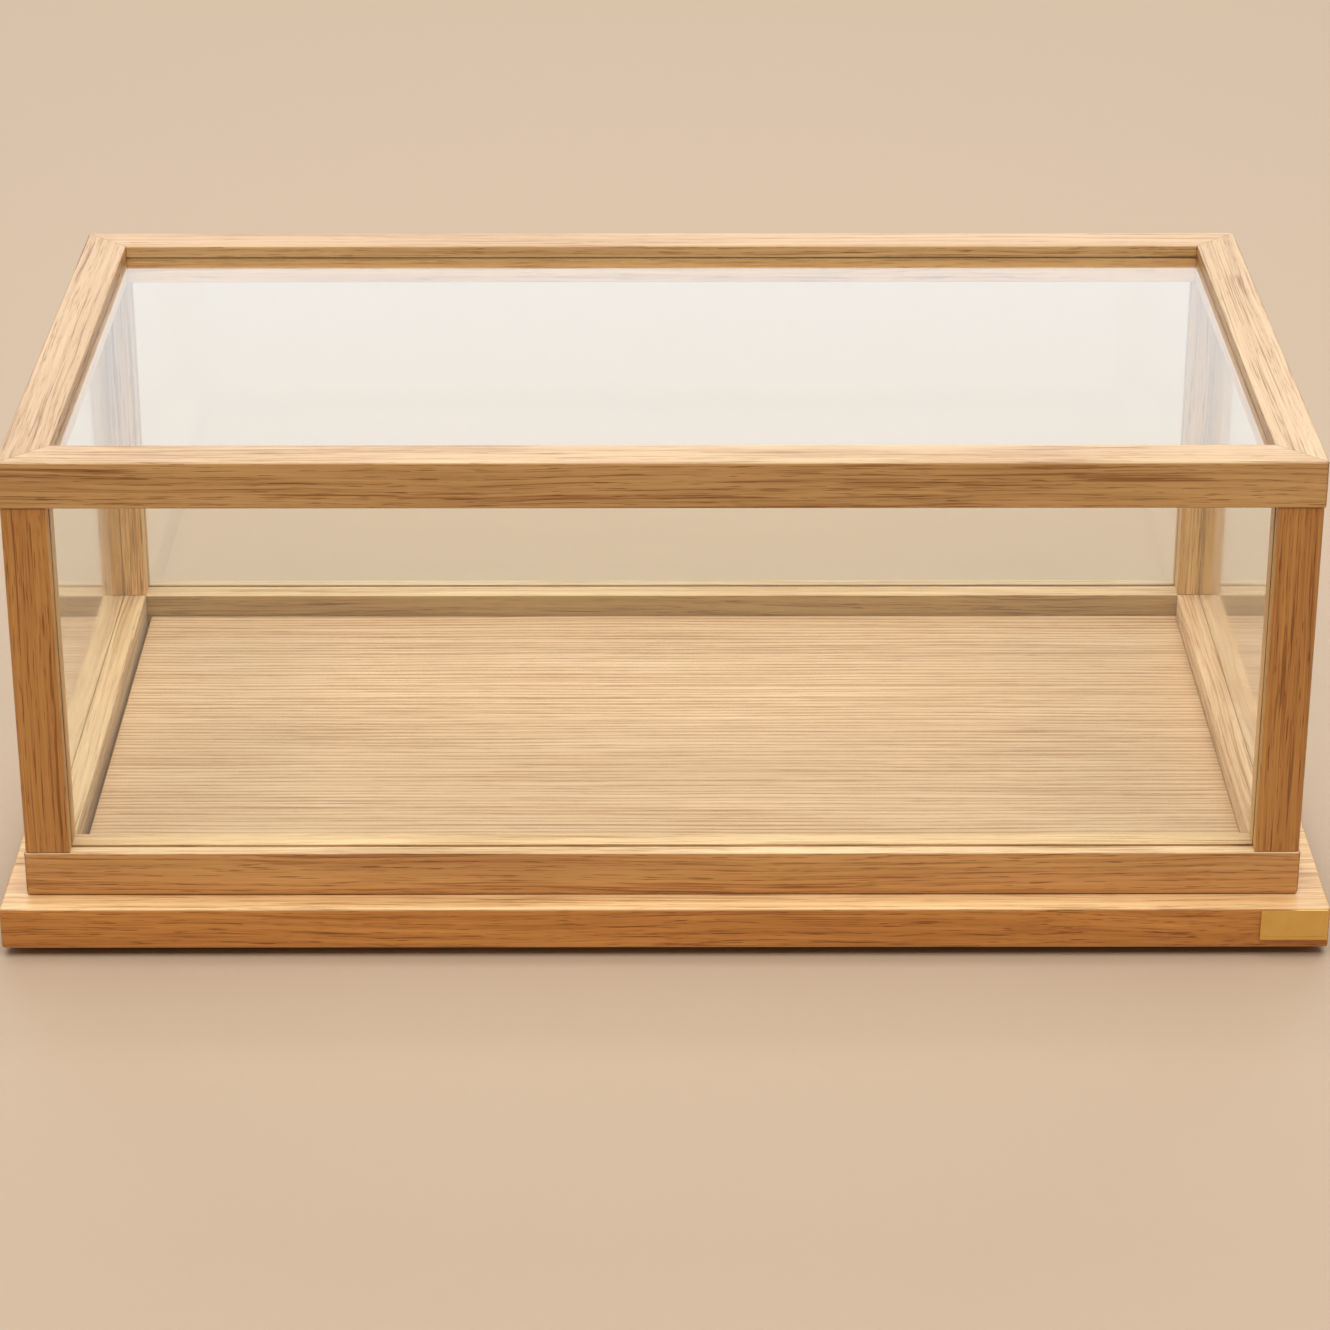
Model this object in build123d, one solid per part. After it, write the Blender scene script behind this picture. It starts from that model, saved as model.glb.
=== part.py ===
from build123d import *
import os

os.makedirs("parts", exist_ok=True)

# A glazed oak display case: a lift-off cover over an oak base with a raised floor.
# +X runs along the case to the right, +Y to the back and +Z up. The origin is the
# centre of the base's footprint, on the plane that the feet stand on. Millimetres.

# ------------------------------------------------------------- driving dimensions

# Cover: a frame of oak bars, whose rails stand a little proud of the posts between them
cover_length = 341.0
cover_depth = 185.5
cover_height = 124.7
bar_width = 12.4
top_rail_height = 12.7
bottom_rail_height = 12.7
post_inset = 0.4
upright_edge_radius = 1.0
top_edge_radius = 0.7
bottom_edge_radius = 1.2
arris_radius = 0.4
post_end_chamfer = 0.2

# Glass, held in grooves in the bars
glass_thickness = 2.0
glass_setback = 3.8
top_glass_drop = 3.5
groove_depth = 3.0
groove_play = 0.1
pane_edge_gap = 0.5

# Dowels through the corners, from each post's ends into the mitred rails
dowel_diameter = 4.0
dowel_setback = 5.0
dowel_hole_depth = 8.0
dowel_end_gap = 0.5
dowel_end_chamfer = 0.5

# Base board and the raised floor that the cover drops over
overhang_x = 7.0
overhang_y = 8.2
board_thickness = 11.9
board_edge_radius = 0.8
floor_thickness = 6.0
floor_clearance = 0.75
floor_edge_radius = 0.5

# How the loose cover sits on its floor, within the clearance
cover_shift_x = -0.65
cover_shift_y = -0.45

# Countersunk screws, up through the board into the floor
screw_diameter = 3.0
screw_length = 15.0
screw_head_diameter = 6.0
screw_head_height = 1.7
screw_tip_length = 2.0
screw_hole_clearance = 0.2
screw_head_sink = 0.3
screw_setback_x = 40.0
screw_setback_y = 30.0
recess_length = 3.2
recess_width = 0.7
recess_depth = 1.1

# Feet
foot_diameter = 12.0
foot_height = 2.5
foot_edge_radius = 0.4
foot_setback = 18.0

# Name plate on the board's front edge, at its right end
plate_length = 18.0
plate_height = 8.8
plate_thickness = 0.6
plate_corner_radius = 0.3
plate_end_gap = 0.5
plate_drop = 0.3
plate_rim = 0.9
plate_rim_relief = 0.12
pad_thickness = 0.2
pad_inset = 1.0

# ------------------------------------------------------------------ derived places

board_length = cover_length + 2 * overhang_x
board_depth = cover_depth + 2 * overhang_y
board_top = foot_height + board_thickness
floor_length = cover_length - 2 * bar_width - 2 * floor_clearance
floor_depth = cover_depth - 2 * bar_width - 2 * floor_clearance
floor_top = board_top + floor_thickness

# The cover's outer faces
left = cover_shift_x - cover_length / 2
right = cover_shift_x + cover_length / 2
front = cover_shift_y - cover_depth / 2
back = cover_shift_y + cover_depth / 2
bottom = board_top
top = bottom + cover_height

# Where the posts start and end
post_foot = bottom + bottom_rail_height
post_head = top - top_rail_height

# Distances in from an outer face
pane_outside = glass_setback
pane_inside = glass_setback + glass_thickness
groove_floor = bar_width - groove_depth
pane_edge = groove_floor + pane_edge_gap


# ------------------------------------------------------------------------- helpers

def block(low, high):
    """A box between two opposite corners."""
    size = [b - a for a, b in zip(low, high)]
    middle = [(a + b) / 2 for a, b in zip(low, high)]
    return Pos(*middle) * Box(*size)


def cylinder(x, y, low, high, radius):
    """An upright cylinder between two heights."""
    return Pos(x, y, (low + high) / 2) * Cylinder(radius, high - low)


def save(shape, name):
    """Writes one node."""
    shape.label = name
    export_step(shape, f"parts/{name}.step")


# ----------------------------------------------------------------------- the cover

def cover_envelope(inset=0.0):
    """The cover's outer shape with its rounded edges. The inset moves its upright faces in."""
    shape = block((left + inset, front + inset, bottom), (right - inset, back - inset, top))
    shape = fillet(shape.edges().filter_by(Axis.Z), upright_edge_radius)
    shape = fillet(shape.edges().group_by(Axis.Z)[-1], top_edge_radius)
    return fillet(shape.edges().group_by(Axis.Z)[0], bottom_edge_radius)


def pane_solids():
    """The five panes. Each side pane stands on the floor of its groove."""
    low = post_foot - groove_depth
    high = post_head + groove_depth - pane_edge_gap
    roof_high = top - top_glass_drop
    roof_low = roof_high - glass_thickness
    x0, x1 = left + pane_edge, right - pane_edge
    y0, y1 = front + pane_edge, back - pane_edge
    return {
        "glass_front": block((x0, front + pane_outside, low), (x1, front + pane_inside, high)),
        "glass_back": block((x0, back - pane_inside, low), (x1, back - pane_outside, high)),
        "glass_left": block((left + pane_outside, y0, low), (left + pane_inside, y1, high)),
        "glass_right": block((right - pane_inside, y0, low), (right - pane_outside, y1, high)),
        "glass_top": block((x0, y0, roof_low), (x1, y1, roof_high)),
    }


def groove_solids(panes):
    """The room that each pane has in the bars: gaps past its edges and play at its faces."""
    cutters = []
    for name, pane in panes.items():
        box = pane.bounding_box()
        low, high = list(box.min), list(box.max)
        for axis in range(3):
            across = high[axis] - low[axis] < glass_thickness + groove_play
            gap = groove_play if across else pane_edge_gap
            low[axis] -= gap
            high[axis] += gap
        # a pane rests on the lower side of its groove
        low[2] = box.min.Z
        cutters.append(block(low, high))
    return cutters


def dowel_places():
    """The four corners, with the way to the case's middle along X and Y."""
    return [
        ("front_left", left, front, 1, 1),
        ("front_right", right, front, -1, 1),
        ("back_left", left, back, 1, -1),
        ("back_right", right, back, -1, -1),
    ]


def dowel_hole_solids():
    """Blind holes: half in the post, half in the rails, at both ends of each post."""
    holes = []
    for _, x, y, inward_x, inward_y in dowel_places():
        cx = x + inward_x * dowel_setback
        cy = y + inward_y * dowel_setback
        for joint in (post_foot, post_head):
            low = joint - dowel_hole_depth
            high = joint + dowel_hole_depth
            holes.append(cylinder(cx, cy, low, high, dowel_diameter / 2))
    return holes


def dowel_solids():
    """Each dowel stands on the bottom of its hole, with a glue gap over its top."""
    dowels = []
    length = 2 * dowel_hole_depth - dowel_end_gap
    for _, x, y, inward_x, inward_y in dowel_places():
        cx = x + inward_x * dowel_setback
        cy = y + inward_y * dowel_setback
        for joint in (post_foot, post_head):
            low = joint - dowel_hole_depth
            dowel = cylinder(cx, cy, low, low + length, dowel_diameter / 2)
            dowels.append(chamfer(dowel.edges().filter_by(GeomType.CIRCLE), dowel_end_chamfer))
    return dowels


def mitred_bar(side, low, high):
    """One rail's rough shape, mitred at both ends, with its long edges eased."""
    b = bar_width
    outlines = {
        "front": [(left, front), (right, front), (right - b, front + b), (left + b, front + b)],
        "back": [(right, back), (left, back), (left + b, back - b), (right - b, back - b)],
        "left": [(left, back), (left, front), (left + b, front + b), (left + b, back - b)],
        "right": [(right, front), (right, back), (right - b, back - b), (right - b, front + b)],
    }
    face = make_face(Polyline(*outlines[side], close=True))
    bar = Pos(0, 0, low) * extrude(face, high - low)
    along = Axis.X if side in ("front", "back") else Axis.Y
    return fillet(bar.edges().filter_by(along), arris_radius)


def post_bar(x, y, inward_x, inward_y):
    """One post's rough shape, with its long edges eased and its ends chamfered."""
    x0, x1 = sorted((x + inward_x * post_inset, x + inward_x * bar_width))
    y0, y1 = sorted((y + inward_y * post_inset, y + inward_y * bar_width))
    bar = block((x0, y0, post_foot), (x1, y1, post_head))
    bar = fillet(bar.edges().filter_by(Axis.Z), arris_radius)
    ends = bar.edges().group_by(Axis.Z)
    return chamfer(ends[0] + ends[-1], post_end_chamfer)


def build_cover():
    rail_envelope = cover_envelope()
    post_envelope = cover_envelope(post_inset)
    panes = pane_solids()
    cutters = groove_solids(panes) + dowel_hole_solids()
    levels = {
        "top_rail": (post_head, top),
        "bottom_rail": (bottom, post_foot),
    }
    for name, (low, high) in levels.items():
        for side in ("front", "back", "left", "right"):
            bar = (mitred_bar(side, low, high) & rail_envelope) - cutters
            save(bar.solid(), f"{name}_{side}")
    for corner, x, y, inward_x, inward_y in dowel_places():
        post = (post_bar(x, y, inward_x, inward_y) & post_envelope) - cutters
        save(post.solid(), f"post_{corner}")
    for name, pane in panes.items():
        save(pane, name)
    save(Compound(children=dowel_solids()), "corner_dowels")


# ------------------------------------------------------------------------ the base

def screw_places():
    x = floor_length / 2 - screw_setback_x
    y = floor_depth / 2 - screw_setback_y
    return [(sx * x, sy * y) for sx in (-1, 1) for sy in (-1, 1)]


def screw_profile(radius, head_radius, length, tip):
    """Half of a countersunk screw's section, its head's flat face on the plane z = 0."""
    points = [
        (0, 0),
        (head_radius, 0),
        (radius, screw_head_height),
        (radius, length - tip),
        (0, length),
    ]
    return revolve(make_face(Polyline(*[(r, 0, z) for r, z in points], close=True)), Axis.Z)


def screw_solid():
    screw = screw_profile(
        screw_diameter / 2, screw_head_diameter / 2, screw_length, screw_tip_length
    )
    arm = Box(recess_length, recess_width, 2 * recess_depth)
    return screw - (arm + Rot(0, 0, 90) * arm)


def build_base():
    screw_foot = foot_height + screw_head_sink
    board = block(
        (-board_length / 2, -board_depth / 2, foot_height),
        (board_length / 2, board_depth / 2, board_top),
    )
    board = fillet(board.edges(), board_edge_radius)
    floor = block(
        (-floor_length / 2, -floor_depth / 2, board_top),
        (floor_length / 2, floor_depth / 2, floor_top),
    )
    upright = floor.edges().filter_by(Axis.Z)
    rim = floor.edges().group_by(Axis.Z)[-1]
    floor = fillet(upright + rim, floor_edge_radius)

    # a screw fills its hole in the floor, and has clearance in the board
    tight = screw_profile(
        screw_diameter / 2, screw_head_diameter / 2, screw_length, screw_tip_length
    )
    radius = (screw_diameter + screw_hole_clearance) / 2
    clear = cylinder(0, 0, 0, board_thickness, radius)
    sink = cylinder(0, 0, -screw_head_sink, 0, screw_head_diameter / 2)
    screws = []
    for x, y in screw_places():
        place = Pos(x, y, screw_foot)
        board -= place * (tight + clear + sink)
        floor -= place * tight
        screws.append((place * screw_solid()).solid())
    save(board.solid(), "base_board")
    save(floor.solid(), "floor_panel")
    save(Compound(children=screws), "base_screws")

    for end, sx in (("left", -1), ("right", 1)):
        for face, sy in (("front", -1), ("back", 1)):
            x = sx * (board_length / 2 - foot_setback)
            y = sy * (board_depth / 2 - foot_setback)
            foot = cylinder(x, y, 0, foot_height, foot_diameter / 2)
            foot = fillet(foot.edges().group_by(Axis.Z)[0], foot_edge_radius)
            save(foot, f"foot_{face}_{end}")


# ------------------------------------------------------------------ the name plate

def build_plate():
    """A plain brass plate with a raised rim, on a thin adhesive pad."""
    x1 = board_length / 2 - plate_end_gap
    x0 = x1 - plate_length
    z1 = board_top - plate_drop
    z0 = z1 - plate_height
    behind = -board_depth / 2 - pad_thickness
    face = behind - plate_thickness
    plate = block((x0, face, z0), (x1, behind, z1))
    plate = fillet(plate.edges().filter_by(Axis.Y), plate_corner_radius)
    field = block(
        (x0 + plate_rim, face, z0 + plate_rim),
        (x1 - plate_rim, face + plate_rim_relief, z1 - plate_rim),
    )
    pad = block(
        (x0 + pad_inset, behind, z0 + pad_inset),
        (x1 - pad_inset, -board_depth / 2, z1 - pad_inset),
    )
    save((plate - field).solid(), "name_plate")
    save(pad, "name_plate_adhesive")


build_cover()
build_base()
build_plate()
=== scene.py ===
"""A glazed oak display case: the CAD frame dressed with procedural oak, glass, brass and rubber."""

import math
import random

import bpy
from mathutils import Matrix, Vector


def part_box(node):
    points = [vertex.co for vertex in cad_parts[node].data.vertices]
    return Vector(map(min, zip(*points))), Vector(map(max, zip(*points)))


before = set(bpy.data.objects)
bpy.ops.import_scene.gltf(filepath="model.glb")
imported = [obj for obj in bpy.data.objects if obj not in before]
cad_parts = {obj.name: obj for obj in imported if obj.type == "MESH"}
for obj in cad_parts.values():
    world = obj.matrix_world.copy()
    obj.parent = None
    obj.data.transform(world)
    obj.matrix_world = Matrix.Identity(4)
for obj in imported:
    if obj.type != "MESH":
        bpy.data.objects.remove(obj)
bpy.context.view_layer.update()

MM = 0.001
CORNERS = ("front_left", "front_right", "back_left", "back_right")
rng = random.Random(1871)

# Below, a noise is its cycles per metre along X and across it, its detail and its roughness.
# A relief is the strength of a bump and its height.

# ---------------------------------------------------------------------- the set

# Camera: where it stands, and how far it looks down and to the right
CAMERA_PLACE = Vector((-0.00185, -1.0303, 0.51035))
CAMERA_DOWN = math.radians(24.55)
CAMERA_RIGHT = math.radians(0.115)
CAMERA_LENS = 106.8
CAMERA_SENSOR = 36.0

# Studio: a radiance of 1 is white
WORLD_COLOUR = (1.0, 0.96, 0.90)
WORLD_STRENGTH = 0.17
FLOOR_COLOUR = (0.49, 0.360, 0.245)
FLOOR_SIZE = 8.0
FLOOR_ROUGHNESS = 0.6
FLOOR_NOISE = (700.0, 700.0, 3.0, 0.6)
FLOOR_RELIEF = (0.1, 0.1 * MM)


# ------------------------------------------------------------------ node helpers

def add(tree, kind, inputs=None, **settings):
    """Adds a node, sets its properties, and fills its inputs with values or links."""
    node = tree.nodes.new(kind)
    for name, value in settings.items():
        setattr(node, name, value)
    for name, value in (inputs or {}).items():
        if isinstance(value, bpy.types.NodeSocket):
            tree.links.new(value, node.inputs[name])
        else:
            node.inputs[name].default_value = value
    return node


def maths(tree, operation, a, b=0.0, c=0.0, clamp=False):
    """One Math node's result."""
    node = add(tree, "ShaderNodeMath", {0: a, 1: b, 2: c}, operation=operation, use_clamp=clamp)
    return node.outputs[0]


def vector_maths(tree, operation, a, b=(0.0, 0.0, 0.0)):
    """One Vector Math node's result, a number for a length or a dot product."""
    node = add(tree, "ShaderNodeVectorMath", {0: a, 1: b}, operation=operation)
    return node.outputs["Value" if operation in ("LENGTH", "DOT_PRODUCT") else "Vector"]


def noise(tree, vector, along, across, detail, roughness, output="Fac"):
    """Noise with so many cycles per metre along X, and so many across it."""
    scaled = vector_maths(tree, "MULTIPLY", vector, (along, across, across))
    inputs = {"Vector": scaled, "Scale": 1.0, "Detail": detail, "Roughness": roughness}
    return add(tree, "ShaderNodeTexNoise", inputs).outputs[output]


def smooth(tree, value, low, high, to_low=0.0, to_high=1.0):
    """A smooth step from to_low at low to to_high at high."""
    inputs = {
        "Value": value, "From Min": low, "From Max": high, "To Min": to_low, "To Max": to_high
    }
    node = add(tree, "ShaderNodeMapRange", inputs, interpolation_type="SMOOTHSTEP")
    return node.outputs["Result"]


def mix_colour(tree, factor, a, b, blend="MIX"):
    """Colour a blended towards b by the factor."""
    node = add(tree, "ShaderNodeMix", data_type="RGBA", blend_type=blend)
    for socket, value in zip((node.inputs[0], node.inputs[6], node.inputs[7]), (factor, a, b)):
        if isinstance(value, bpy.types.NodeSocket):
            tree.links.new(value, socket)
        else:
            socket.default_value = value
    return node.outputs[2]


def rgba(colour):
    return (*colour, 1.0)


def new_material(name):
    """An empty node material, its node tree, and the place of a point in its object."""
    material = bpy.data.materials.new(name)
    material.use_nodes = True
    tree = material.node_tree
    tree.nodes.clear()
    return material, tree, tree.nodes.new("ShaderNodeTexCoord").outputs["Object"]


def relief(tree, height, strength, distance):
    """The normal of a surface bumped by the height."""
    inputs = {"Strength": strength, "Distance": distance, "Height": height}
    return add(tree, "ShaderNodeBump", inputs).outputs["Normal"]


def principled(tree, **inputs):
    """A Principled shader, its sockets named with _ for a space."""
    inputs = {name.replace("_", " "): value for name, value in inputs.items()}
    return add(tree, "ShaderNodeBsdfPrincipled", inputs).outputs["BSDF"]


def show(tree, shader):
    """Makes the shader the material's surface."""
    add(tree, "ShaderNodeOutputMaterial", {"Surface": shader})


def dress(name, material):
    """Gives a CAD node its material."""
    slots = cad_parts[name].data.materials
    slots.clear()
    slots.append(material)


# ---------------------------------------------------------------------- the oak

# The noises in oak, where X runs along the grain
TRUNK_NOISE = (7.0, 26.0, 2.0, 0.55)
RING_NOISE = (3.0, 240.0, 2.0, 0.6)
VESSEL_NOISE = (105.0, 3400.0, 1.0, 0.4)
STRAND_NOISE = (22.0, 1800.0, 2.0, 0.55)
PATCH_NOISE = (9.0, 190.0, 2.0, 0.5)
GRAIN_NOISE = (16.0, 900.0, 3.0, 0.65)
FIBRE_NOISE = (45.0, 3000.0, 2.0, 0.6)
CLOUD_NOISE = (8.0, 100.0, 2.0, 0.5)
NOISE_MEAN = 0.5

# Rings: how far noise shifts them, in ring widths, and where in a ring the early wood lies
RING_UNEVENNESS = 1.7
EARLY_WOOD_STARTS = (0.0, 0.12)
EARLY_WOOD_ENDS = (0.32, 0.75)

# Vessels and streaks show where their noise passes a threshold, over a soft edge
VESSEL_THRESHOLD, VESSEL_EDGE = 0.660, 0.08
VESSEL_CROWDING = 0.075
STREAK_THRESHOLD, STREAK_EDGE = 0.755, 0.13
STREAK_PATCHINESS = 0.40

# What each part adds to the tone
MEAN_TONE = 0.585
CLOUD_WEIGHT = 0.70
STREAK_WEIGHT = -0.38
GRAIN_WEIGHT = 0.75
FIBRE_WEIGHT = 0.50


def oak_group():
    """Oak as a solid: X runs along the grain, and the tree's pith is the line y = z = 0.

    Tone is 0 in the darkest wood and 1 in the palest, Pores is 1 inside an open vessel,
    and Fibre is the fine streaking that every cut shows.
    """
    tree = bpy.data.node_groups.new("oak_grain", "ShaderNodeTree")
    face = tree.interface
    face.new_socket("Vector", in_out="INPUT", socket_type="NodeSocketVector")
    for name in ("Ring Width", "Waviness", "Ring Depth", "Figure"):
        face.new_socket(name, in_out="INPUT", socket_type="NodeSocketFloat")
    for name in ("Tone", "Pores", "Fibre"):
        face.new_socket(name, in_out="OUTPUT", socket_type="NodeSocketFloat")
    entry = tree.nodes.new("NodeGroupInput").outputs
    leave = tree.nodes.new("NodeGroupOutput").inputs

    # the trunk isn't straight: its rings wander slowly along the grain
    wander = noise(tree, entry["Vector"], *TRUNK_NOISE, output="Color")
    wander = vector_maths(tree, "SUBTRACT", wander, (NOISE_MEAN, NOISE_MEAN, NOISE_MEAN))
    wander = add(
        tree, "ShaderNodeVectorMath", {0: wander, "Scale": entry["Waviness"]}, operation="SCALE"
    ).outputs["Vector"]
    bent = vector_maths(tree, "ADD", entry["Vector"], wander)

    # rings: the distance from the pith, in ring widths
    radius = vector_maths(tree, "LENGTH", vector_maths(tree, "MULTIPLY", bent, (0.0, 1.0, 1.0)))
    count = maths(tree, "DIVIDE", radius, entry["Ring Width"])
    count = maths(tree, "MULTIPLY_ADD", noise(tree, bent, *RING_NOISE), RING_UNEVENNESS, count)
    phase = maths(tree, "FRACT", count)
    early = maths(
        tree, "MULTIPLY", smooth(tree, phase, *EARLY_WOOD_STARTS),
        smooth(tree, phase, *EARLY_WOOD_ENDS, 1.0, 0.0),
    )

    # vessels: fine dark dashes a few millimetres long, crowded in the early wood
    threshold = maths(tree, "MULTIPLY_ADD", early, -VESSEL_CROWDING, VESSEL_THRESHOLD)
    excess = maths(tree, "SUBTRACT", noise(tree, bent, *VESSEL_NOISE), threshold)
    pores = smooth(tree, excess, 0.0, VESSEL_EDGE)

    # long thin dark streaks, which come in patches
    patch = noise(tree, bent, *PATCH_NOISE)
    threshold = maths(tree, "MULTIPLY_ADD", patch, -STREAK_PATCHINESS, STREAK_THRESHOLD)
    excess = maths(tree, "SUBTRACT", noise(tree, bent, *STRAND_NOISE), threshold)
    streak = smooth(tree, excess, 0.0, STREAK_EDGE)

    # slow changes of tone and the streaks make the figure; soft grain and fine fibres go on top
    cloud = maths(tree, "SUBTRACT", noise(tree, bent, *CLOUD_NOISE), NOISE_MEAN)
    figure = maths(tree, "MULTIPLY", cloud, CLOUD_WEIGHT)
    figure = maths(tree, "MULTIPLY_ADD", streak, STREAK_WEIGHT, figure)
    tone = maths(tree, "MULTIPLY_ADD", figure, entry["Figure"], MEAN_TONE)
    depth = maths(tree, "MULTIPLY", entry["Ring Depth"], -1.0)
    tone = maths(tree, "MULTIPLY_ADD", early, depth, tone)
    fibre = noise(tree, bent, *FIBRE_NOISE)
    for part, weight in ((noise(tree, bent, *GRAIN_NOISE), GRAIN_WEIGHT), (fibre, FIBRE_WEIGHT)):
        part = maths(tree, "SUBTRACT", part, NOISE_MEAN)
        tone = maths(tree, "MULTIPLY_ADD", part, weight, tone)
    tone = maths(tree, "MINIMUM", maths(tree, "MAXIMUM", tone, 0.0), 1.0)

    for name, value in (("Tone", tone), ("Pores", pores), ("Fibre", fibre)):
        tree.links.new(value, leave[name])
    return tree


# How each axis of grain is turned onto the texture's X
GRAIN_TURN = {
    "X": (0.0, 0.0, 0.0),
    "Y": (0.0, 0.0, -math.pi / 2),
    "Z": (0.0, math.pi / 2, 0.0),
}

# Colours at the dark end, the middle and the pale end of the tone
OAK_DARK = (0.255, 0.105, 0.030)
OAK_MID = (0.470, 0.258, 0.116)
OAK_PALE = (0.600, 0.370, 0.190)
RAMP_ENDS = (0.05, 0.95)

# The shade of a pore on an upright face, and the share of it that a level face shows
PORE_SHADE = (0.46, 0.32, 0.20)
LEVEL_PORES = 0.45

# A joint's dark line: how far it reaches to each side, and the share of that which is solid
SEAM_COLOUR = (0.085, 0.035, 0.012)
SEAM_REACH = 0.22 * MM
SEAM_CORE = 0.35

# A face is upright where its normal's Z is below the first limit, and level above the second.
# Where its plane passes this near the case's axis, its outer and inner tints, which carry painted
# light and shade, blend.
UPRIGHT_LIMITS = (0.15, 0.85)
MIDDLE_BAND = 20.0 * MM

# Finish: satin oil, duller in the pores and on the fibres
FINISH_IOR = 1.5
OAK_COAT_WEIGHT, OAK_COAT_ROUGHNESS = 0.2, 0.35
OAK_ROUGHNESS = 0.36
FIBRE_ROUGHNESS = 0.14
PORE_ROUGHNESS = 0.25
PORE_DEPTH = 0.8
OAK_RELIEF = (0.35, 0.12 * MM)

# How far a piece may be shifted along its tree, and the directions in which the pith may lie
TREE_SHIFT = 3.0
PITH_ANGLES = (0.3, 1.2)


def oak_face_tint_and_painted_light(tree, place, tint, outer, inner):
    """The tint of the face that a point is on, with the painted light and shade that face gets, and
    how upright that face is.
    """
    normal = tree.nodes.new("ShaderNodeTexCoord").outputs["Normal"]
    steepness = add(tree, "ShaderNodeSeparateXYZ", {"Vector": normal}).outputs["Z"]
    upright = smooth(tree, maths(tree, "ABSOLUTE", steepness), *UPRIGHT_LIMITS, 1.0, 0.0)
    from_axis = vector_maths(tree, "MULTIPLY", place, (1.0, 1.0, 0.0))
    away = vector_maths(tree, "DOT_PRODUCT", from_axis, normal)
    inward = smooth(tree, away, -MIDDLE_BAND, MIDDLE_BAND, 1.0, 0.0)
    side_tint_and_painted_light = mix_colour(tree, inward, rgba(outer), rgba(inner))
    return mix_colour(tree, upright, rgba(tint), side_tint_and_painted_light), upright


def seam_lines(tree, place, seams):
    """Where a piece's joints show: 1 on the hairline, 0 off it."""
    lines = None
    for normal, distance in seams:
        along = vector_maths(tree, "DOT_PRODUCT", place, normal)
        gap = maths(tree, "ABSOLUTE", maths(tree, "SUBTRACT", along, distance))
        line = smooth(tree, gap, SEAM_CORE * SEAM_REACH, SEAM_REACH, 1.0, 0.0)
        lines = line if lines is None else maths(tree, "MAXIMUM", lines, line)
    return lines


def oak(name, grain, group, tint, outer=None, inner=None, ring=1.9 * MM, waviness=5.0 * MM,
        pith=(0.06, 0.05), ring_depth=0.12, figure=1.0, pore_strength=0.75, contrast=1.0,
        seams=(), seam_strength=0.4):
    """One piece of oak: its tint, and those of its upright faces; the tints are the oak's colour
    with painted light and shade for how light falls on each face.

    outer is for the faces that look away from the case's middle, inner for those that look at it.
    seams are the planes, as (normal, distance), where the piece meets another.
    """
    outer = outer or tint
    inner = inner or outer
    material, tree, place = new_material(name)
    offset = (rng.uniform(-TREE_SHIFT, TREE_SHIFT), *pith)
    in_tree = add(tree, "ShaderNodeMapping", {
        "Vector": place, "Location": offset, "Rotation": GRAIN_TURN[grain],
    }).outputs["Vector"]
    wood = add(tree, "ShaderNodeGroup", {
        "Vector": in_tree, "Ring Width": ring, "Waviness": waviness, "Ring Depth": ring_depth,
        "Figure": figure,
    }, node_tree=group)
    pores, fibre = wood.outputs["Pores"], wood.outputs["Fibre"]

    tone = maths(tree, "MULTIPLY_ADD", wood.outputs["Tone"], contrast, (1.0 - contrast) * 0.5)
    ramp = add(tree, "ShaderNodeValToRGB", {"Fac": tone})
    stops = ramp.color_ramp.elements
    for stop, position, colour in zip(stops, RAMP_ENDS, (OAK_DARK, OAK_PALE)):
        stop.position, stop.color = position, rgba(colour)
    stops.new(0.5).color = rgba(OAK_MID)

    # the face's tint holds painted light and shade as well as the oak's colour
    face_tint_and_painted_light, upright = oak_face_tint_and_painted_light(tree, place, tint, outer, inner)
    colour = mix_colour(tree, 1.0, ramp.outputs["Color"], face_tint_and_painted_light, "MULTIPLY")
    shown = maths(
        tree, "MULTIPLY_ADD", upright, (1.0 - LEVEL_PORES) * pore_strength,
        LEVEL_PORES * pore_strength,
    )
    shown = maths(tree, "MULTIPLY", pores, shown)
    shade = mix_colour(tree, shown, rgba((1.0, 1.0, 1.0)), rgba(PORE_SHADE))
    colour = mix_colour(tree, 1.0, colour, shade, "MULTIPLY")
    if seams:
        line = maths(tree, "MULTIPLY", seam_lines(tree, place, seams), seam_strength)
        colour = mix_colour(tree, line, colour, rgba(SEAM_COLOUR))

    rough = maths(tree, "MULTIPLY_ADD", fibre, FIBRE_ROUGHNESS, OAK_ROUGHNESS)
    rough = maths(tree, "MULTIPLY_ADD", pores, PORE_ROUGHNESS, rough, clamp=True)
    height = maths(tree, "MULTIPLY_ADD", pores, -PORE_DEPTH, fibre)
    show(tree, principled(
        tree, Base_Color=colour, Roughness=rough, Normal=relief(tree, height, *OAK_RELIEF),
        IOR=FINISH_IOR, Coat_Weight=OAK_COAT_WEIGHT, Coat_Roughness=OAK_COAT_ROUGHNESS,
    ))
    return material


def post_seams(name):
    """A post meets a rail at each end."""
    low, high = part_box(name)
    return [((0.0, 0.0, 1.0), low.z), ((0.0, 0.0, 1.0), high.z)]


def mitre_seams(level, side):
    """A rail's two mitres: upright planes at 45 degrees through the cover's corners."""
    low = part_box(f"{level}_left")[0]
    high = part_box(f"{level}_right")[1]
    low.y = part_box(f"{level}_front")[0].y
    high.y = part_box(f"{level}_back")[1].y
    corners = {
        "front": ((low.x, low.y, -1), (high.x, low.y, 1)),
        "back": ((low.x, high.y, 1), (high.x, high.y, -1)),
        "left": ((low.x, low.y, -1), (low.x, high.y, 1)),
        "right": ((high.x, low.y, 1), (high.x, high.y, -1)),
    }
    half = math.sqrt(0.5)
    return [
        ((half, slope * half, 0.0), half * x + slope * half * y) for x, y, slope in corners[side]
    ]
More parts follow.
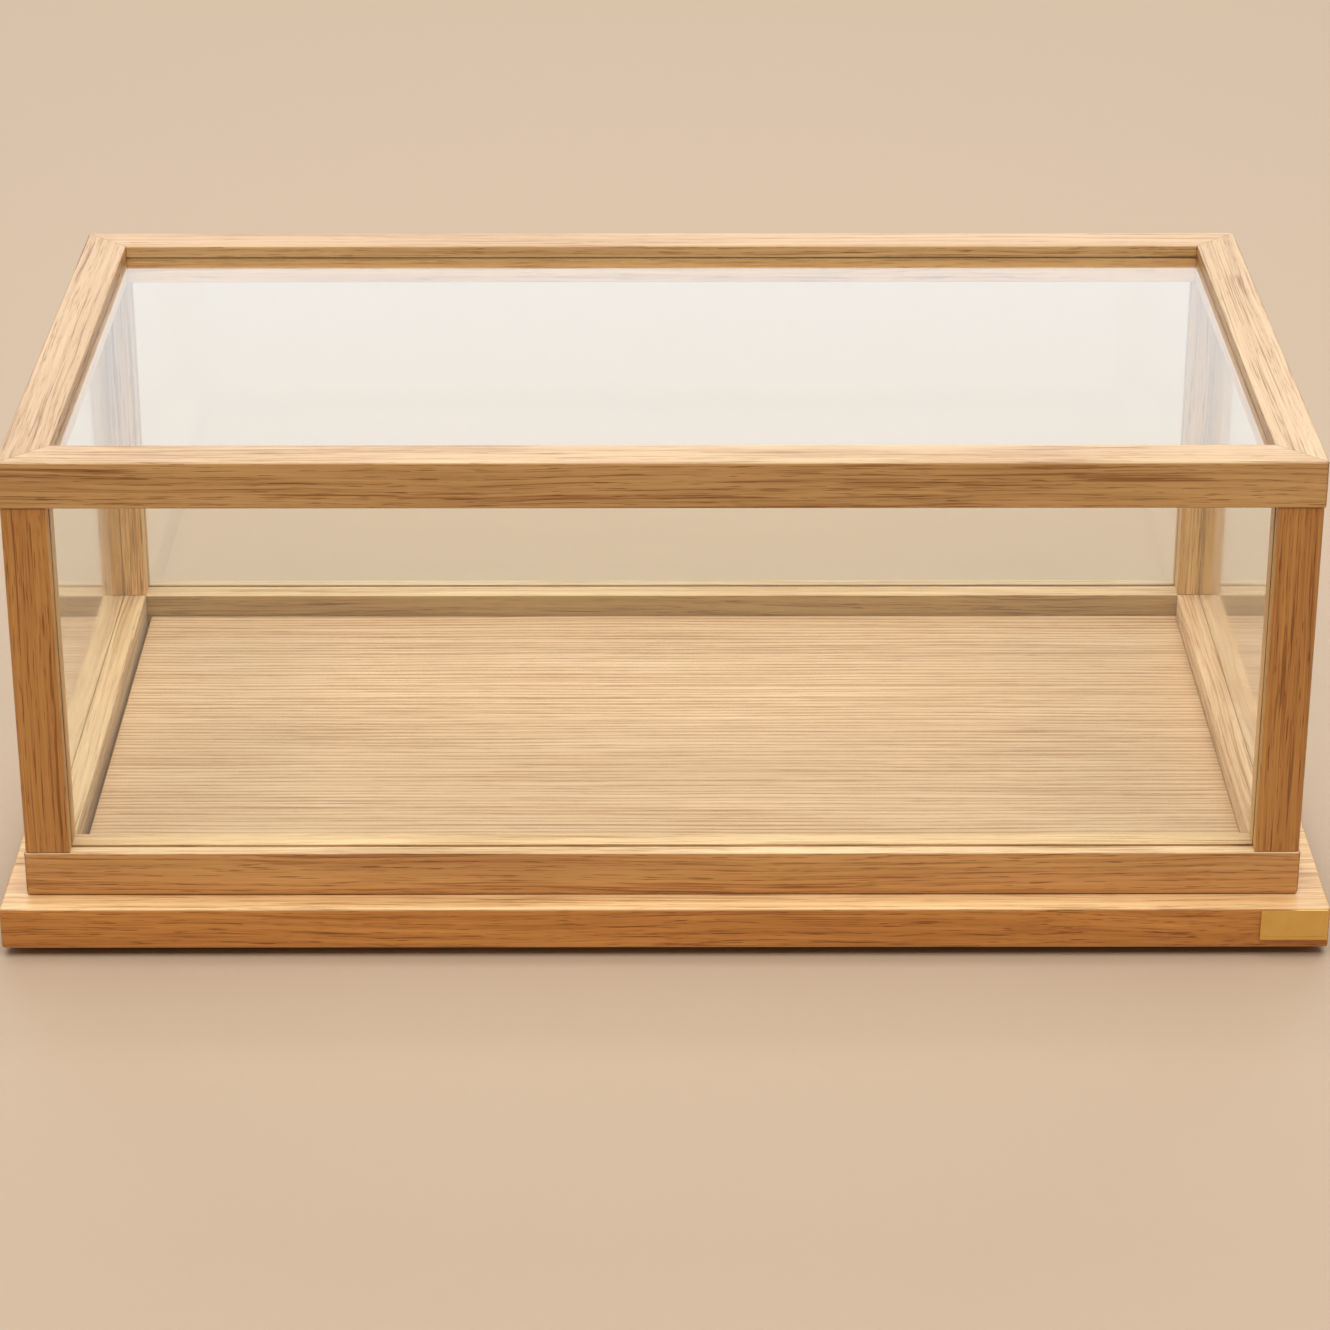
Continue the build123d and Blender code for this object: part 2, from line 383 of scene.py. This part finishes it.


# Tints of a rail's top and bottom, of its outer face and of its inner face: the oak's colour with
# painted light and shade for how light falls on each face
TOP_RAIL_OUTER_TINT_WITH_PAINTED_LIGHT = (1.37, 1.34, 1.01)
BOTTOM_RAIL_OUTER_TINT_WITH_PAINTED_LIGHT = (1.48, 1.33, 0.94)
RAIL_TINTS_WITH_PAINTED_LIGHT = {
    "top_rail_front": ((1.29, 1.47, 1.60), TOP_RAIL_OUTER_TINT_WITH_PAINTED_LIGHT, (1.48, 1.45, 1.13)),
    "top_rail_back": ((1.22, 1.34, 1.38), TOP_RAIL_OUTER_TINT_WITH_PAINTED_LIGHT, (1.58, 1.62, 1.32)),
    "top_rail_left": ((1.13, 1.24, 1.33), TOP_RAIL_OUTER_TINT_WITH_PAINTED_LIGHT, (1.48, 1.45, 1.13)),
    "top_rail_right": ((1.23, 1.40, 1.55), TOP_RAIL_OUTER_TINT_WITH_PAINTED_LIGHT, (1.48, 1.45, 1.13)),
    "bottom_rail_front": ((1.56, 1.84, 2.06), BOTTOM_RAIL_OUTER_TINT_WITH_PAINTED_LIGHT, (1.40, 1.50, 1.30)),
    "bottom_rail_back": ((1.39, 1.64, 1.84), BOTTOM_RAIL_OUTER_TINT_WITH_PAINTED_LIGHT, (0.82, 0.85, 0.58)),
    "bottom_rail_left": ((1.36, 1.58, 1.78), BOTTOM_RAIL_OUTER_TINT_WITH_PAINTED_LIGHT, (1.34, 1.70, 2.15)),
    "bottom_rail_right": ((1.34, 1.50, 1.74), BOTTOM_RAIL_OUTER_TINT_WITH_PAINTED_LIGHT, (1.80, 2.25, 2.90)),
}
# Posts' outer and inner tints: the oak's colour with painted light and shade
POST_OUTER_TINT_WITH_PAINTED_LIGHT = (1.27, 1.00, 0.50)
POST_INNER_TINT_WITH_PAINTED_LIGHT = (1.48, 1.48, 1.02)
# The board's top and edge tints and the panel's tint: the oak's colour with painted light and shade
BASE_TOP_TINT_WITH_PAINTED_LIGHT = (1.72, 1.95, 1.96)
BASE_EDGE_TINT_WITH_PAINTED_LIGHT = (1.43, 1.03, 0.44)
PANEL_TINT_WITH_PAINTED_LIGHT = (1.29, 1.49, 1.79)
DOWEL_TINT = (1.05, 1.1, 1.15)


def random_pith(near, far):
    """Where the tree's pith ran, seen from a bar's middle."""
    angle = rng.uniform(*PITH_ANGLES)
    reach = rng.uniform(near, far)
    return (reach * math.cos(angle), reach * math.sin(angle))


def dress_oak():
    """Oak for the bars, the board and the panel, and a plainer wood for the dowels."""
    group = oak_group()
    for name, (tint, outer, inner) in RAIL_TINTS_WITH_PAINTED_LIGHT.items():
        level, side = name.rsplit("_", 1)
        dress(name, oak(
            f"oak_{name}", "X" if side in ("front", "back") else "Y", group, tint, outer, inner,
            pith=random_pith(0.05, 0.12), seams=mitre_seams(level, side),
        ))
    for corner in CORNERS:
        name = f"post_{corner}"
        dress(name, oak(
            f"oak_{name}", "Z", group, POST_OUTER_TINT_WITH_PAINTED_LIGHT, inner=POST_INNER_TINT_WITH_PAINTED_LIGHT,
            pith=random_pith(0.05, 0.10), seams=post_seams(name), seam_strength=0.85,
        ))
    dress("base_board", oak(
        "oak_base_board", "X", group, BASE_TOP_TINT_WITH_PAINTED_LIGHT, outer=BASE_EDGE_TINT_WITH_PAINTED_LIGHT,
        ring=2.3 * MM, waviness=7.0 * MM, pith=(0.02, 0.07), pore_strength=0.8,
    ))
    dress("floor_panel", oak(
        "oak_floor_panel", "X", group, PANEL_TINT_WITH_PAINTED_LIGHT, ring=2.1 * MM,
        waviness=3.5 * MM, pith=(0.32, 0.01), ring_depth=0.30, figure=0.45, pore_strength=0.9,
    ))
    dress("corner_dowels", oak(
        "beech_dowel", "Z", group, DOWEL_TINT, pore_strength=0.2, contrast=0.5,
    ))


# -------------------------------------------------------------- the other surfaces

# Glass: a soft clear coat gives the top pane its pale glare
GLASS_COLOUR = (0.965, 0.985, 0.975)
GLASS_SHADOW = (0.94, 0.96, 0.95)
GLASS_IOR = 1.5
GLASS_COAT_ROUGHNESS = 0.12
GLASS_WAVE_NOISE = (9.0, 9.0, 1.0, 0.4)
GLASS_RELIEF = (0.05, 0.2 * MM)

# Brass: both the brushing and the tarnish dull it
BRASS_TARNISHED = (0.80, 0.49, 0.13)
BRASS_CLEAN = (0.93, 0.63, 0.21)
BRUSHING_NOISE = (500.0, 9000.0, 2.0, 0.6)
TARNISH_NOISE = (220.0, 260.0, 3.0, 0.6)
BRASS_ROUGHNESS = 0.24
BRUSHING_ROUGHNESS = 0.16
TARNISH_ROUGHNESS = 0.12
BRASS_RELIEF = (0.15, 0.02 * MM)

# Rubber, tape and plated steel
SPECKLE_DETAIL, SPECKLE_ROUGHNESS = 4.0, 0.6
SPECKLE_RELIEF_STRENGTH = 0.4


def glass():
    """Clear float glass: it refracts and reflects, and lets the lamps' light through."""
    material, tree, place = new_material("float_glass")
    wave = noise(tree, place, *GLASS_WAVE_NOISE)
    body = principled(
        tree, Base_Color=rgba(GLASS_COLOUR), Roughness=0.0, IOR=GLASS_IOR,
        Transmission_Weight=1.0, Coat_Weight=1.0, Coat_Roughness=GLASS_COAT_ROUGHNESS,
        Normal=relief(tree, wave, *GLASS_RELIEF),
    )
    clear = add(tree, "ShaderNodeBsdfTransparent", {"Color": rgba(GLASS_SHADOW)})
    path = tree.nodes.new("ShaderNodeLightPath")
    mix = add(tree, "ShaderNodeMixShader", {
        "Fac": path.outputs["Is Shadow Ray"], 1: body, 2: clear.outputs["BSDF"],
    })
    show(tree, mix.outputs["Shader"])
    return material


def brass():
    """Satin brass with a fine lengthwise brushing and a faint tarnish."""
    material, tree, place = new_material("satin_brass")
    brushed = noise(tree, place, *BRUSHING_NOISE)
    cloud = noise(tree, place, *TARNISH_NOISE)
    colour = mix_colour(tree, cloud, rgba(BRASS_TARNISHED), rgba(BRASS_CLEAN))
    rough = maths(tree, "MULTIPLY_ADD", brushed, BRUSHING_ROUGHNESS, BRASS_ROUGHNESS)
    rough = maths(tree, "MULTIPLY_ADD", cloud, TARNISH_ROUGHNESS, rough)
    show(tree, principled(
        tree, Base_Color=colour, Metallic=1.0, Roughness=rough,
        Normal=relief(tree, brushed, *BRASS_RELIEF),
    ))
    return material


def speckled(name, dark, pale, fineness, smoothest, roughest, metallic=0.0, depth=0.05 * MM):
    """A fine mottled surface, for rubber, tape and plated steel."""
    material, tree, place = new_material(name)
    grain = noise(tree, place, fineness, fineness, SPECKLE_DETAIL, SPECKLE_ROUGHNESS)
    colour = mix_colour(tree, grain, rgba(dark), rgba(pale))
    rough = maths(tree, "MULTIPLY_ADD", grain, roughest - smoothest, smoothest)
    show(tree, principled(
        tree, Base_Color=colour, Metallic=metallic, Roughness=rough,
        Normal=relief(tree, grain, SPECKLE_RELIEF_STRENGTH, depth),
    ))
    return material


def dress_the_rest():
    """Glass, the plate and its tape, the screws and the feet."""
    pane = glass()
    for side in ("front", "back", "left", "right", "top"):
        dress(f"glass_{side}", pane)
    dress("name_plate", brass())
    dress("name_plate_adhesive", speckled(
        "foam_tape", (0.62, 0.61, 0.57), (0.78, 0.77, 0.72), 2500.0, 0.6, 0.9,
    ))
    dress("base_screws", speckled(
        "zinc_plated_steel", (0.45, 0.46, 0.47), (0.68, 0.69, 0.70), 1800.0, 0.25, 0.45,
        metallic=1.0, depth=0.01 * MM,
    ))
    rubber = speckled(
        "black_rubber", (0.012, 0.011, 0.010), (0.040, 0.037, 0.034), 3000.0, 0.6, 0.85,
    )
    for corner in CORNERS:
        dress(f"foot_{corner}", rubber)


# ------------------------------------------------------------------- the studio

# The window is two lights in one place, of which only one shows in gloss
WINDOW = {"place": (0.0, 1.7, 0.95), "target": (0.0, 0.0, 0.1), "size": (2.6, 1.3)}


def panel_light(name, place, target, size, radiance, colour=(1.0, 1.0, 1.0),
                shows_in_gloss=True):
    """A soft rectangular light of a given radiance, which the camera doesn't see."""
    data = bpy.data.lights.new(name, "AREA")
    data.shape = "RECTANGLE"
    width, height = size
    data.size, data.size_y = width, height
    data.energy = radiance * math.pi * width * height
    data.color = colour
    lamp = bpy.data.objects.new(name, data)
    bpy.context.scene.collection.objects.link(lamp)
    lamp.location = place
    lamp.rotation_euler = (Vector(target) - Vector(place)).to_track_quat("-Z", "Y").to_euler()
    lamp.visible_camera = False
    lamp.visible_transmission = False
    lamp.visible_glossy = shows_in_gloss


def build_lights():
    """A pale surround, a window behind the case, and lamps above it and in front of it."""
    scene = bpy.context.scene
    scene.view_settings.view_transform = "Standard"
    world = bpy.data.worlds.new("studio")
    world.use_nodes = True
    background = world.node_tree.nodes["Background"]
    background.inputs["Color"].default_value = rgba(WORLD_COLOUR)
    background.inputs["Strength"].default_value = WORLD_STRENGTH
    scene.world = world

    panel_light("window", **WINDOW, radiance=1.50, colour=(0.90, 0.96, 1.0))
    panel_light(
        "window_fill", **WINDOW, radiance=0.80, colour=(0.97, 0.98, 1.0), shows_in_gloss=False,
    )
    panel_light("overhead", (0.0, 0.1, 2.0), (0.0, 0.1, 0.0), (2.4, 1.4), radiance=3.75)
    panel_light("front", (0.0, -1.1, 2.0), (0.0, 0.0, 0.0), (2.4, 0.8), radiance=3.95)


def build_floor():
    """A plain pale floor with a faint tooth, like paper."""
    material, tree, place = new_material("floor_paper")
    tooth = noise(tree, place, *FLOOR_NOISE)
    show(tree, principled(
        tree, Base_Color=rgba(FLOOR_COLOUR), Roughness=FLOOR_ROUGHNESS,
        Normal=relief(tree, tooth, *FLOOR_RELIEF),
    ))
    half = FLOOR_SIZE / 2
    mesh = bpy.data.meshes.new("floor")
    corners = [(-half, -half, 0.0), (half, -half, 0.0), (half, half, 0.0), (-half, half, 0.0)]
    mesh.from_pydata(corners, [], [(0, 1, 2, 3)])
    mesh.materials.append(material)
    floor = bpy.data.objects.new("floor", mesh)
    bpy.context.scene.collection.objects.link(floor)


def build_camera():
    data = bpy.data.cameras.new("camera")
    data.sensor_width = CAMERA_SENSOR
    data.lens = CAMERA_LENS
    camera = bpy.data.objects.new("camera", data)
    camera.location = CAMERA_PLACE
    camera.rotation_euler = (math.pi / 2 - CAMERA_DOWN, 0.0, -CAMERA_RIGHT)
    bpy.context.scene.collection.objects.link(camera)
    bpy.context.scene.camera = camera


build_camera()
build_lights()
build_floor()
dress_oak()
dress_the_rest()
